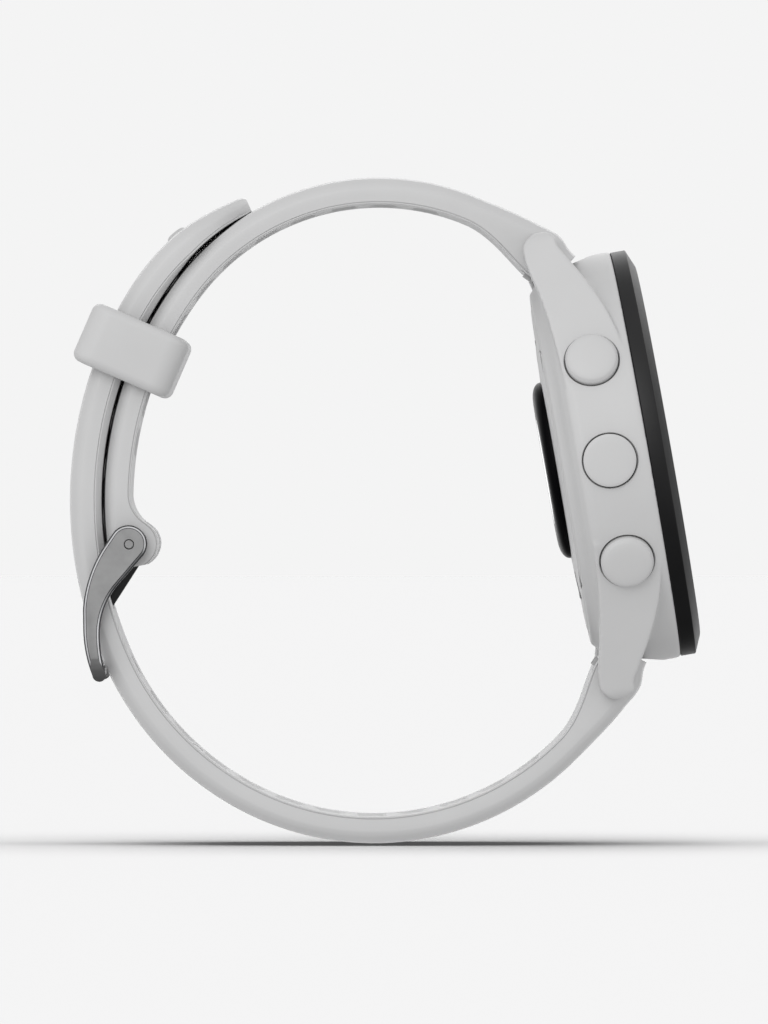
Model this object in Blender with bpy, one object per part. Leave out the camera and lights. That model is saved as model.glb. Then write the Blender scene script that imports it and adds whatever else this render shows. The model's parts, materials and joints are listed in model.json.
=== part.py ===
"""A GPS running watch with its strap closed, as separate solids.

Lengths below are in millimetres and are turned into metres when a mesh is made. The origin is the
middle of the wrist opening. +Y runs across the strap, and the display faces +X, tilted up a little.
The case is drawn in its own frame, CASE_ORIGIN turned by CASE_TILT: x runs along the strap towards
6 o'clock, y towards 3 o'clock, and z out of the display, with z = 0 where the bezel meets the case.
"""

import math

import bmesh
import bpy
from mathutils import Matrix, Vector

MM = 0.001

# Segments in a full turn, by how large the round part is.
BIG_ROUND = 44
MID_ROUND = 24
SMALL_ROUND = 16
TINY_ROUND = 8

# Case
CASE_ORIGIN = (32.04, 0.0, 6.05)
CASE_TILT = 80.0
CASE_RADIUS = 21.6
CASE_REAR_Z = -9.06
CASE_SIDE_END_Z = -7.0
CAVITY_RADIUS = 18.3
SHOULDER_RADIUS = 14.6
SHOULDER_Z = -6.4
GASKET_NOTCH_RADIUS = 15.35
GASKET_NOTCH_Z = -7.8
COVER_SEAT_Z = -8.4
COVER_RECESS_RADIUS = 17.6

# Lugs and spring bars
LUG_ANGLE = 23.0
LUG_INNER_Y = 10.3
LUG_TIP_X = 24.75
LUG_END_RADIUS = 2.1
BAR_X = 22.3
BAR_Z = -7.1
SCOOP_RADIUS = 2.85
BAR_TUBE_RADIUS = 0.9
BAR_BORE_RADIUS = 0.6
BAR_PIN_RADIUS = 0.45
BAR_TIP_Y = 11.3
LUG_HOLE_RADIUS = 0.6
LEVER_Y = -7.0
LEVER_TRAVEL = 1.2
LEVER_HALF = 0.45
LEVER_REACH = 3.0

# Bezel, glass and display
BEZEL_RADIUS = 21.5
BEZEL_TOP = 2.4
BEZEL_WALL_TOP = 1.6
BEZEL_TOP_RADIUS = 19.63
GLASS_SEAT_RADIUS = 19.45
GLASS_RADIUS = 19.3
BEZEL_BORE = 17.9
GLASS_SEAT_Z = 1.4
JOINT_GAP = 0.04

# Buttons: name, place along the case, and side of the case
BUTTONS = [
    ("light", -10.6, -1),
    ("up", 0.0, -1),
    ("down", 10.6, -1),
    ("start_stop", -10.6, 1),
    ("back", 10.6, 1),
]
BUTTON_Z = -4.1
HEAD_RADIUS = 2.75
HEAD_HOLE_RADIUS = 2.92
HEAD_HOLE_DEPTH = 1.45
HEAD_UNDERSIDE = -0.6
SEAL_BORE_RADIUS = 1.6
SEAL_BORE_DEPTH = 2.25
STEM_RADIUS = 0.9
STEM_HOLE_RADIUS = 1.0
STEM_END = -5.3
CLIP_TOP = -3.8
SWITCH_FACE = -6.12

# Strap
STRAP_WIDTH = 20.0
HALF_THICKNESS = 1.37
BAR_END_RADIUS = 2.55
BAR_TAPER_LENGTH = 9.0
STRAP_BAR_HOLE = 1.05
STATION_STEP = 4.6
OVERLAP_CENTRE = (14.19, 1.24)
HOLE_PITCH = 5.5
FIRST_HOLE = 53.4
HOLE_COUNT = 11
TONGUE_HOLE = 3
HOLE_WIDTH = 2.7
HOLE_LENGTH = 2.1

# Buckle and keeper
BUCKLE_PIN = (-21.96, -3.37)
PIN_RADIUS = 0.6
FRAME_INNER_Y = 10.4
FRAME_OUTER_Y = 12.0
BAR_PLACE = (-3.2, -13.3)
TONGUE_HEADING = 237.3
TONGUE_PLAY = 5.0
TONGUE_BEND = 50.0
TONGUE_TIP = 2.3
TONGUE_SLOT_DROP = 3.6
KEEPER_ANGLE = 156.5
KEEPER_MIDDLE = 39.2
KEEPER_RADIAL = 10.9
KEEPER_LENGTH = 6.5
KEEPER_HALF_WIDTH = 12.2
KEEPER_CORNER = 1.3

# Name: colour, metallic value, roughness
MATERIALS = {
    "case_plastic": ((0.52, 0.53, 0.54), 0.0, 0.5),
    "strap_silicone": ((0.53, 0.53, 0.53), 0.0, 0.6),
    "bezel_black": ((0.03, 0.03, 0.032), 0.0, 0.4),
    "cover_glass": ((0.01, 0.01, 0.012), 0.0, 0.08),
    "display": ((0.01, 0.01, 0.01), 0.0, 0.3),
    "gloss_black": ((0.008, 0.008, 0.01), 0.0, 0.12),
    "seal_rubber": ((0.02, 0.02, 0.02), 0.0, 0.8),
    "stainless": ((0.6, 0.6, 0.6), 1.0, 0.3),
    "buckle_metal": ((0.2, 0.2, 0.21), 1.0, 0.32),
    "tongue_black": ((0.02, 0.02, 0.02), 0.6, 0.4),
    "chassis_plastic": ((0.08, 0.08, 0.09), 0.0, 0.6),
    "board_green": ((0.02, 0.12, 0.06), 0.0, 0.5),
    "battery_foil": ((0.35, 0.36, 0.38), 0.3, 0.45),
    "gold": ((0.8, 0.6, 0.25), 1.0, 0.25),
    "flex_amber": ((0.45, 0.22, 0.05), 0.0, 0.4),
}


# Making meshes


def material(name):
    found = bpy.data.materials.get(name)
    if found:
        return found
    colour, metallic, roughness = MATERIALS[name]
    made = bpy.data.materials.new(name)
    made.use_nodes = True
    shader = made.node_tree.nodes["Principled BSDF"]
    shader.inputs["Base Color"].default_value = (*colour, 1.0)
    shader.inputs["Metallic"].default_value = metallic
    shader.inputs["Roughness"].default_value = roughness
    return made


def empty(name, location, rotation=(0.0, 0.0, 0.0), parent=None):
    made = bpy.data.objects.new(name, None)
    made.location = Vector(location) * MM
    made.rotation_euler = rotation
    made.parent = parent
    bpy.context.scene.collection.objects.link(made)
    return made


def piece(name, shape, slot=None, parent=None, location=(0.0, 0.0, 0.0)):
    """An object from a (points, faces) shape in millimetres; one without a slot is a cutter."""
    points, faces = shape
    mesh = bpy.data.meshes.new(name)
    mesh.from_pydata([Vector(point) * MM for point in points], [], faces)
    body = bmesh.new()
    body.from_mesh(mesh)
    bmesh.ops.recalc_face_normals(body, faces=body.faces)
    body.to_mesh(mesh)
    body.free()
    mesh.shade_smooth()
    mesh.set_sharp_from_angle(angle=math.radians(32))
    made = bpy.data.objects.new(name, mesh)
    made.parent = parent
    made.location = Vector(location) * MM
    bpy.context.scene.collection.objects.link(made)
    if slot:
        mesh.materials.append(material(slot))
    else:
        made.hide_render = True
        made.display_type = "WIRE"
    return made


def combine(target, tool, operation="DIFFERENCE"):
    tool.hide_render = True
    tool.display_type = "WIRE"
    modifier = target.modifiers.new(tool.name, "BOOLEAN")
    modifier.object = tool
    modifier.operation = operation
    modifier.solver = "EXACT"


def turned(profile, segments):
    """A profile of (radius, z) turned about z: closed where it meets the axis, a ring where not."""
    points = []
    rings = []
    for radius, height in profile:
        if radius == 0.0:
            rings.append([len(points)] * segments)
            points.append((0.0, 0.0, height))
            continue
        rings.append(list(range(len(points), len(points) + segments)))
        for step in range(segments):
            angle = 2 * math.pi * step / segments
            points.append((radius * math.cos(angle), radius * math.sin(angle), height))
    faces = []
    closed = profile[0][0] > 0.0
    pairs = len(rings) if closed else len(rings) - 1
    for index in range(pairs):
        low, high = rings[index], rings[(index + 1) % len(rings)]
        for step in range(segments):
            after = (step + 1) % segments
            corners = [low[step], low[after], high[after], high[step]]
            faces.append(list(dict.fromkeys(corners)))
    return points, [face for face in faces if len(face) > 2]


def disc(radius, low, high, segments):
    return turned([(0.0, low), (radius, low), (radius, high), (0.0, high)], segments)


def ring(inner, outer, low, high, segments):
    return turned([(inner, low), (outer, low), (outer, high), (inner, high)], segments)


def prism(outline, low, high, place):
    """A closed outline of (u, v), run from low to high; place turns (u, v, w) into (x, y, z)."""
    count = len(outline)
    points = [place(u, v, low) for u, v in outline] + [place(u, v, high) for u, v in outline]
    faces = [list(range(count)), list(range(count, 2 * count))]
    for index in range(count):
        after = (index + 1) % count
        faces.append([index, after, count + after, count + index])
    return points, faces


def box(low, high):
    (x0, y0, z0), (x1, y1, z1) = low, high
    outline = [(x0, y0), (x1, y0), (x1, y1), (x0, y1)]
    return prism(outline, z0, z1, upright)


def joined(shapes):
    points = []
    faces = []
    for more_points, more_faces in shapes:
        start = len(points)
        points += more_points
        faces += [[start + index for index in face] for face in more_faces]
    return points, faces


def lofted(loops):
    """A closed skin through loops that have equal numbers of points, capped at both ends."""
    count = len(loops[0])
    points = [point for loop in loops for point in loop]
    faces = [list(range(count)), list(range(len(points) - count, len(points)))]
    for row in range(len(loops) - 1):
        for index in range(count):
            after = (index + 1) % count
            low = row * count
            faces.append([low + index, low + after, low + count + after, low + count + index])
    return points, faces


def upright(u, v, w):
    return (u, v, w)


def across(u, v, w):
    """A side outline: u is x, v is z, and the run is along y."""
    return (u, w, v)


def arc(centre, radius, start, end, steps):
    """Points on an arc, with angles in degrees."""
    found = []
    for step in range(steps + 1):
        angle = math.radians(start + (end - start) * step / steps)
        found.append((centre[0] + radius * math.cos(angle), centre[1] + radius * math.sin(angle)))
    return found


def rounded_rectangle(half_u, half_v, corner, steps=3):
    outline = []
    for sign_u, sign_v, start in ((1, 1, 0), (-1, 1, 90), (-1, -1, 180), (1, -1, 270)):
        centre = (sign_u * (half_u - corner), sign_v * (half_v - corner))
        outline += arc(centre, corner, start, start + 90, steps)
    return outline


# Case


def case_body(case):
    profile = [
        (0.0, 0.0),
        (CASE_RADIUS, 0.0),
        (CASE_RADIUS, CASE_SIDE_END_Z),
        (21.3, -7.5),
        (20.4, -7.9),
        (19.4, -8.25),
        (18.85, -8.7),
        (18.6, CASE_REAR_Z),
        (0.0, CASE_REAR_Z),
    ]
    body = piece("case_middle", turned(profile, BIG_ROUND), "case_plastic", case)
    for end in (-1, 1):
        for side in (-1, 1):
            combine(body, lug(case, end, side), "UNION")
    combine(body, piece("case_cavity", turned(cavity_profile(), BIG_ROUND), parent=case))
    for end in (-1, 1):
        combine(body, piece(f"lug_gap_{end}", lug_gap(end), parent=case))
        combine(body, piece(f"bar_holes_{end}", bar_hole(end), parent=case))
    return body


def cavity_profile():
    return [
        (0.0, 1.0),
        (CAVITY_RADIUS, 1.0),
        (CAVITY_RADIUS, SHOULDER_Z),
        (SHOULDER_RADIUS, SHOULDER_Z),
        (SHOULDER_RADIUS, GASKET_NOTCH_Z),
        (GASKET_NOTCH_RADIUS, GASKET_NOTCH_Z),
        (GASKET_NOTCH_RADIUS, COVER_SEAT_Z),
        (COVER_RECESS_RADIUS, COVER_SEAT_Z),
        (COVER_RECESS_RADIUS, -10.0),
        (0.0, -10.0),
    ]


def lug(case, end, side):
    """One lug: its side outline run across the case, kept where the plan outline allows it."""
    top = [(9.5, -0.65), (12.5, -0.65), (14.3, -0.9), (16.0, -1.55)]
    top += [(18.2, -2.55), (20.5, -3.85), (22.8, -5.15)]
    tip = [(24.1, -6.1), (24.7, -7.2), (24.6, -8.2), (23.9, -8.95), (23.0, -9.1)]
    under = [(21.0, -9.05), (19.2, -8.5), (16.0, -7.95), (12.9, -7.6), (9.5, -7.6)]
    outline = [(end * x, z) for x, z in top + tip + under]
    inner, outer = side * (LUG_INNER_Y - 0.1), side * 22.0
    shape = prism(outline, min(inner, outer), max(inner, outer), across)
    made = piece(f"lug_{end}_{side}", shape, parent=case)
    lean = math.radians(LUG_ANGLE)
    tangent = (CASE_RADIUS * math.sin(lean), CASE_RADIUS * math.cos(lean))
    end_centre = (LUG_TIP_X - LUG_END_RADIUS, LUG_INNER_Y + 0.75)
    plan = [(8.0, 8.0), (8.0, tangent[1])] + [tangent]
    plan += arc(end_centre, LUG_END_RADIUS, 90 - LUG_ANGLE, -60, 5)
    plan += [(LUG_TIP_X - 1.3, 8.0)]
    plan = [(end * x, side * y) for x, y in plan]
    plan = piece(f"lug_plan_{end}_{side}", prism(plan, -12.0, 2.0, upright), parent=case)
    combine(made, plan, "INTERSECT")
    return made


def lug_gap(end):
    """The space between a pair of lugs that the strap's end turns in."""
    round_part = arc((BAR_X, BAR_Z), SCOOP_RADIUS, 120, 235, 10)
    outline = round_part + [(BAR_X + 1.0, -11.0), (27.0, -11.0), (27.0, 0.5), (22.2, 0.5)]
    outline = [(end * x, z) for x, z in outline]
    return prism(outline, -LUG_INNER_Y, LUG_INNER_Y, across)


def bar_hole(end):
    outline = arc((end * BAR_X, BAR_Z), LUG_HOLE_RADIUS, 0, 360 - 360 / SMALL_ROUND, SMALL_ROUND - 1)
    return prism(outline, -BAR_TIP_Y - 0.3, BAR_TIP_Y + 0.3, across)


def bezel_and_display(case):
    bezel = [
        (BEZEL_BORE, JOINT_GAP),
        (21.1, JOINT_GAP),
        (21.1, 0.3),
        (BEZEL_RADIUS, 0.34),
        (BEZEL_RADIUS, BEZEL_WALL_TOP),
        (BEZEL_TOP_RADIUS, BEZEL_TOP),
        (GLASS_SEAT_RADIUS, BEZEL_TOP),
        (GLASS_SEAT_RADIUS, GLASS_SEAT_Z),
        (BEZEL_BORE, GLASS_SEAT_Z),
    ]
    piece("bezel", turned(bezel, BIG_ROUND), "bezel_black", case)
    glass = [(0.0, 1.5), (GLASS_RADIUS, 1.5), (GLASS_RADIUS, 2.3)]
    glass += [(GLASS_RADIUS - 0.1, BEZEL_TOP), (0.0, BEZEL_TOP)]
    piece("display_glass", turned(glass, BIG_ROUND), "cover_glass", case)
    piece("display_gasket", ring(18.1, 19.2, 1.43, 1.47, MID_ROUND), "seal_rubber", case)
    piece("display_module", disc(16.6, 0.2, 1.3, MID_ROUND), "display", case)
    ribbon = [(5.0, 0.14), (11.2, 0.14), (11.2, -2.05), (7.0, -2.05)]
    ribbon += [(7.0, -1.95), (11.1, -1.95), (11.1, 0.04), (5.0, 0.04)]
    piece("display_flex", prism(ribbon, -3.0, 3.0, across), "flex_amber", case)


def inner_parts(case):
    piece("gps_antenna", ring(16.9, 18.1, -0.9, -0.2, MID_ROUND), "gold", case)
    piece("chassis_frame", ring(12.0, 17.8, -1.9, -1.1, MID_ROUND), "chassis_plastic", case)
    piece("main_board", disc(14.0, -2.9, -2.15, MID_ROUND), "board_green", case)
    piece("shield_can", box((-6.0, -8.0, -3.45), (6.0, 2.0, -2.95)), "stainless", case)
    piece("battery", box((-9.5, -10.2, -7.2), (9.5, 4.2, -3.6)), "battery_foil", case)
    piece("vibration_motor", disc(3.7, -6.9, -3.6, SMALL_ROUND), "stainless", case, (-4.6, 8.6, 0.0))
    piece("piezo_buzzer", disc(3.7, -4.6, -3.6, SMALL_ROUND), "gold", case, (4.6, 8.6, 0.0))
    piece("sensor_board", disc(8.0, -8.3, -7.7, MID_ROUND), "board_green", case)
    cross_section = arc((15.0, -8.1), 0.26, 0, 300, 5)
    piece("rear_gasket", turned(cross_section, MID_ROUND), "seal_rubber", case)


def rear_parts(case, body):
    profile = [
        (7.0, -8.46),
        (17.45, -8.46),
        (17.45, -9.08),
        (16.9, -9.2),
        (12.5, -9.4),
        (9.2, -9.5),
        (7.0, -9.5),
    ]
    cover = piece("rear_cover", turned(profile, BIG_ROUND), "case_plastic", case)
    housing = [
        (4.5, -8.4),
        (6.85, -8.4),
        (6.85, -9.54),
        (9.36, -9.54),
        (9.2, -9.95),
        (8.75, -10.3),
        (8.1, -10.53),
        (7.2, -10.63),
        (5.7, -10.63),
        (5.7, -10.1),
        (4.5, -10.1),
    ]
    piece("sensor_housing", turned(housing, BIG_ROUND), "gloss_black", case)
    piece("sensor_window", disc(5.6, -10.63, -10.14, MID_ROUND), "cover_glass", case)
    for number in range(4):
        angle = math.radians(45 + 90 * number)
        place = (16.1 * math.cos(angle), 16.1 * math.sin(angle), 0.0)
        rear_screw(case, body, cover, number + 1, place)
    port = piece("charge_port", box((10.9, -3.75, -9.32), (13.7, 3.75, -8.0)), "gloss_black", case)
    combine(cover, piece("port_hole", box((10.8, -3.85, -10.0), (13.8, 3.85, -8.0)), parent=case))
    for number in range(4):
        place = (12.3, 1.6 * number - 2.4, 0.0)
        hole = disc(0.52, -10.0, -7.0, TINY_ROUND)
        combine(port, piece(f"contact_hole_{number}", hole, None, case, place))
        contact = turned([(0.0, -9.12), (0.3, -9.12), (0.45, -8.95), (0.45, -7.6), (0.0, -7.6)], TINY_ROUND)
        piece(f"charge_contact_{number + 1}", contact, "gold", case, place)
    combine(cover, piece("vent_hole", disc(1.38, -10.0, -8.0, SMALL_ROUND), None, case, (-12.5, 0.0, 0.0)))
    vent = [(0.0, -9.15), (0.4, -9.15), (0.5, -9.32), (1.3, -9.32), (1.3, -8.3), (0.0, -8.3)]
    vent = turned(vent, SMALL_ROUND)
    piece("pressure_vent", vent, "seal_rubber", case, (-12.5, 0.0, 0.0))


def rear_screw(case, body, cover, number, place):
    head = [(0.0, -8.98), (0.55, -8.98), (0.55, -9.22), (1.1, -9.22), (1.2, -9.12), (1.2, -8.82)]
    thread = [(0.6, -8.82), (0.6, -7.1), (0.0, -7.1)]
    piece(f"rear_screw_{number}", turned(head + thread, TINY_ROUND), "stainless", case, place)
    seat = [(0.0, -10.0), (1.28, -10.0), (1.28, -8.78), (0.68, -8.78), (0.68, -8.0), (0.0, -8.0)]
    seat = turned(seat, TINY_ROUND)
    combine(cover, piece(f"screw_seat_{number}", seat, None, case, place))
    combine(body, piece(f"screw_hole_{number}", disc(0.68, -9.0, -6.9, TINY_ROUND), None, case, place))


# Buttons


def button_axis(case, name, along, side):
    """An empty on the case's side wall, with its z axis pointing out of the wall."""
    lean = 0.0 if along == 0.0 else math.copysign(math.radians(LUG_ANGLE), along)
    outward = Vector((math.sin(lean), side * math.cos(lean), 0.0))
    wall = (CASE_RADIUS - abs(along) * math.sin(abs(lean))) / math.cos(lean)
    up = Vector((0.0, 0.0, 1.0))
    turn = Matrix((up, outward.cross(up), outward)).transposed()
    return empty(f"{name}_button_axis", (along, side * wall, BUTTON_Z), turn.to_euler(), case)


def button(case, body, name, along, side):
    axis = button_axis(case, name, along, side)
    hole = [
        (0.0, 3.0),
        (HEAD_HOLE_RADIUS, 3.0),
        (HEAD_HOLE_RADIUS, -HEAD_HOLE_DEPTH),
        (SEAL_BORE_RADIUS, -HEAD_HOLE_DEPTH),
        (SEAL_BORE_RADIUS, -SEAL_BORE_DEPTH),
        (STEM_HOLE_RADIUS, -SEAL_BORE_DEPTH),
        (STEM_HOLE_RADIUS, -4.3),
        (0.0, -4.3),
    ]
    combine(body, piece(f"{name}_button_hole", turned(hole, SMALL_ROUND), parent=axis))
    cap = [
        (0.0, 1.0),
        (1.4, 0.9),
        (2.2, 0.66),
        (2.6, 0.4),
        (HEAD_RADIUS, 0.1),
        (HEAD_RADIUS, HEAD_UNDERSIDE),
        (STEM_RADIUS, HEAD_UNDERSIDE),
        (STEM_RADIUS, STEM_END),
        (0.0, STEM_END),
    ]
    piece(f"{name}_button_cap", turned(cap, SMALL_ROUND), "case_plastic", axis)
    piece(f"{name}_button_seal", ring(0.98, 1.5, -2.15, -1.55, SMALL_ROUND), "seal_rubber", axis)
    piece(f"{name}_button_clip", clip_shape(), "stainless", axis)
    piece(f"{name}_button_switch", switch_shape(), "chassis_plastic", axis)


def clip_shape():
    """A C clip that snaps round the stem inside the case wall."""
    outline = arc((0.0, 0.0), 1.7, 40, 320, 12) + arc((0.0, 0.0), 0.96, 320, 40, 12)
    return prism(outline, CLIP_TOP - 0.3, CLIP_TOP, upright)


def switch_shape():
    """A tactile switch: its plunger stands 0.3 out of its can."""
    top = SWITCH_FACE - 0.3
    low = top - 0.9
    profile = [(0.0, SWITCH_FACE), (0.8, SWITCH_FACE), (0.8, top), (1.6, top), (1.6, low), (0.0, low)]
    return turned(profile, TINY_ROUND)


# Strap


def along_arcs(start, heading, arcs, distance):
    """The point and heading at a distance along a chain of arcs (radius, turn), left turns positive."""
    x, z = start
    angle = math.radians(heading)
    for radius, turn in arcs:
        sign = math.copysign(1.0, turn)
        length = radius * math.radians(abs(turn))
        run = min(distance, length)
        centre = (x - sign * radius * math.sin(angle), z + sign * radius * math.cos(angle))
        if distance < 0.0:
            return x + distance * math.cos(angle), z + distance * math.sin(angle), angle
        angle += sign * run / radius
        x = centre[0] + sign * radius * math.sin(angle)
        z = centre[1] - sign * radius * math.cos(angle)
        distance -= run
        if distance <= 0.0:
            break
    return x, z, angle


LONG_START = (28.92, -17.14)
LONG_HEADING = 246.9
LONG_ARCS = [(24.33, -20.6), (28.46, -75.2), (30.25, -36.8), (40.97, -54.3), (25.5, -36.0)]
SHORT_START = (21.18, 26.78)
SHORT_HEADING = 136.8
SHORT_ARCS = [(24.95, 97.1), (37.45, 50.0)]


def chain_length(arcs):
    return sum(radius * math.radians(abs(turn)) for radius, turn in arcs)


def on_long(distance):
    x, z, angle = along_arcs(LONG_START, LONG_HEADING, LONG_ARCS, distance)
    return Vector((x, 0.0, z)), Vector((-math.sin(angle), 0.0, math.cos(angle)))


def on_short(distance):
    x, z, angle = along_arcs(SHORT_START, SHORT_HEADING, SHORT_ARCS, distance)
    return Vector((x, 0.0, z)), Vector((math.sin(angle), 0.0, -math.cos(angle)))


def bar_end(distance):
    """Half thickness near the spring bar: a round end that eases into the strap."""
    if distance < 0.0:
        return math.sqrt(max(BAR_END_RADIUS**2 - distance**2, 0.3))
    ease = min(distance / BAR_TAPER_LENGTH, 1.0)
    ease = ease * ease * (3.0 - 2.0 * ease)
    return BAR_END_RADIUS + (HALF_THICKNESS - BAR_END_RADIUS) * ease


def section(point, outward, outer, inner, half_width):
    """One cross section, with rounder edges on the outside than next to the skin."""
    thick = outer + inner
    big = min(1.1, 0.42 * thick, 0.4 * half_width)
    small = min(0.4, 0.2 * thick, 0.2 * half_width)
    corner = 0.3 * big
    outline = [
        (-half_width, -inner + small),
        (-half_width + small, -inner),
        (half_width - small, -inner),
        (half_width, -inner + small),
        (half_width, outer - big),
        (half_width - corner, outer - corner),
        (half_width - big, outer),
        (-half_width + big, outer),
        (-half_width + corner, outer - corner),
        (-half_width, outer - big),
    ]
    width = Vector((0.0, 1.0, 0.0))
    return [tuple(point + width * y + outward * n) for y, n in outline]


def spaced(start, end, step):
    count = max(1, round((end - start) / step))
    return [start + (end - start) * index / count for index in range(count + 1)]


ROUND_END = [-2.5, -2.3, -1.9, -1.3, -0.6]


def long_strap(case):
    total = chain_length(LONG_ARCS)
    tip_start = total - 8.0
    places = ROUND_END + spaced(0.0, tip_start, STATION_STEP)
    places += [tip_start + 8.0 * part for part in (0.3, 0.55, 0.75, 0.9, 0.99)]
    loops = []
    for distance in places:
        half = bar_end(distance)
        width = STRAP_WIDTH / 2
        beyond = distance - tip_start
        if beyond > 0.0:
            width *= math.sqrt(1.0 - (beyond / 8.2) ** 2)
            half -= 0.62 * beyond / 8.0
        loops.append(section(*on_long(distance), half, half, width))
    strap = piece("strap_hole_side", lofted(loops), "strap_silicone")
    combine(strap, piece("strap_holes", joined(hole_shapes())))
    combine(strap, lever_slot(case, 1))
    return strap


def hole_shapes():
    """Cutters for the adjustment holes; the one in use is slanted to suit the tongue."""
    shapes = []
    for number in range(HOLE_COUNT):
        centre, outward = on_long(FIRST_HOLE + HOLE_PITCH * number)
        centre = (centre.x, centre.z)
        half_length = HOLE_LENGTH / 2
        lean = math.atan2(outward.z, outward.x)
        if number == TONGUE_HOLE:
            lean = math.radians(TONGUE_HEADING)
            swing = 9.0 * math.radians(TONGUE_PLAY)
            half_length = (1.2 + swing + 0.5) / 2
            middle = 1.35 - swing / 2
            centre = tongue_frame(8.5, middle)
        shapes.append(slanted_box(centre, lean, 4.0, half_length, HOLE_WIDTH / 2))
    return shapes


def slanted_box(centre, lean, half_run, half_side, half_width):
    run = (math.cos(lean), math.sin(lean))
    outline = []
    for sign_u, sign_v in ((-1, -1), (1, -1), (1, 1), (-1, 1)):
        u, v = sign_u * half_run, sign_v * half_side
        outline.append((centre[0] + u * run[0] - v * run[1], centre[1] + u * run[1] + v * run[0]))
    return prism(outline, -half_width, half_width, across)


def short_strap(case):
    straight = SHORT_ARCS[0][0] * math.radians(SHORT_ARCS[0][1])
    offset = Vector((BUCKLE_PIN[0] - OVERLAP_CENTRE[0], BUCKLE_PIN[1] - OVERLAP_CENTRE[1]))
    turn = math.degrees(math.atan2(-offset.y, -offset.x)) + 180.0
    begin = SHORT_HEADING + SHORT_ARCS[0][1] - 90.0
    radius = SHORT_ARCS[1][0]
    at_pin = straight + radius * math.radians(turn - begin)
    inset = radius - offset.length
    places = ROUND_END + spaced(0.0, at_pin - 9.0, STATION_STEP)
    places += [at_pin + d for d in (-7.0, -5.5, -4.2, -3.0, -1.8, -0.8, 0.0, 0.8, 1.5, 2.0, 2.3)]
    loops = []
    for distance in places:
        past = distance - at_pin
        outer = inner = bar_end(distance)
        if past > 0.0:
            outer = math.sqrt(2.4**2 - past**2) - inset
            inner = math.sqrt(2.6**2 - past**2) + inset
        elif past > -8.0:
            ease = 1.0 + past / 8.0
            inner = HALF_THICKNESS + (2.6 + inset - HALF_THICKNESS) * ease**3
        loops.append(section(*on_short(distance), outer, inner, STRAP_WIDTH / 2))
    strap = piece("strap_buckle_side", lofted(loops), "strap_silicone")
    combine(strap, piece("buckle_pin_bore", rod(BUCKLE_PIN, 0.8, 11.0, MID_ROUND)))
    slot_centre = (BUCKLE_PIN[0], BUCKLE_PIN[1] - TONGUE_SLOT_DROP)
    combine(strap, piece("tongue_slot", slanted_box(slot_centre, 0.0, 6.0, 6.0, 1.75)))
    combine(strap, lever_slot(case, -1))
    return strap


def rod(centre, radius, half_width, segments):
    outline = arc(centre, radius, 0, 360 - 360 / segments, segments - 1)
    return prism(outline, -half_width, half_width, across)


def lever_slot(case, end):
    """The bore for a spring bar, with a window on the wrist side for its release lever."""
    bore = rod((end * BAR_X, BAR_Z), STRAP_BAR_HOLE, 11.0, SMALL_ROUND)
    bore = piece(f"strap_bore_{end}", bore, None, case)
    window = lever_post(end, 1.0, 4.5, LEVER_Y - 0.9, LEVER_Y + LEVER_TRAVEL + 0.9)
    combine(bore, piece(f"lever_window_{end}", window, parent=case), "UNION")
    return bore


def lever_post(end, half_width, reach, low, high):
    """A square post from the bar towards the wrist and the middle of the case."""
    lean = math.radians(225 if end > 0 else 315)
    centre = (end * BAR_X + reach / 2 * math.cos(lean), BAR_Z + reach / 2 * math.sin(lean))
    run = (math.cos(lean), math.sin(lean))
    outline = []
    for u, v in ((-1, -1), (1, -1), (1, 1), (-1, 1)):
        u, v = u * reach / 2, v * half_width
        outline.append((centre[0] + u * run[0] - v * run[1], centre[1] + u * run[1] + v * run[0]))
    return prism(outline, low, high, across)


def spring_bar(case, name, end):
    """A quick-release bar: a tube with one fixed tip, and a sprung pin with a lever."""
    axis = empty(f"{name}_bar_axis", (end * BAR_X, 0.0, BAR_Z), (-math.pi / 2, 0.0, 0.0), case)
    tube = [
        (0.0, -0.5),
        (BAR_BORE_RADIUS, -0.5),
        (BAR_BORE_RADIUS, -9.9),
        (BAR_TUBE_RADIUS, -9.9),
        (BAR_TUBE_RADIUS, 9.9),
        (BAR_PIN_RADIUS, 9.9),
        (BAR_PIN_RADIUS, BAR_TIP_Y),
        (0.0, BAR_TIP_Y),
    ]
    holder = piece(f"{name}_bar_tube", turned(tube, SMALL_ROUND), "stainless", axis)
    window = lever_post(end, 0.7, 2.0, LEVER_Y - 0.7, LEVER_Y + LEVER_TRAVEL + 0.7)
    combine(holder, piece(f"{name}_tube_window", window, parent=case))
    pin = piece(f"{name}_bar_lever", disc(BAR_PIN_RADIUS, -BAR_TIP_Y, -3.0, SMALL_ROUND), "stainless", axis)
    post = lever_post(end, LEVER_HALF, LEVER_REACH, LEVER_Y - LEVER_HALF, LEVER_Y + LEVER_HALF)
    combine(pin, piece(f"{name}_lever_post", post, parent=case), "UNION")


# Buckle and keeper


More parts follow.
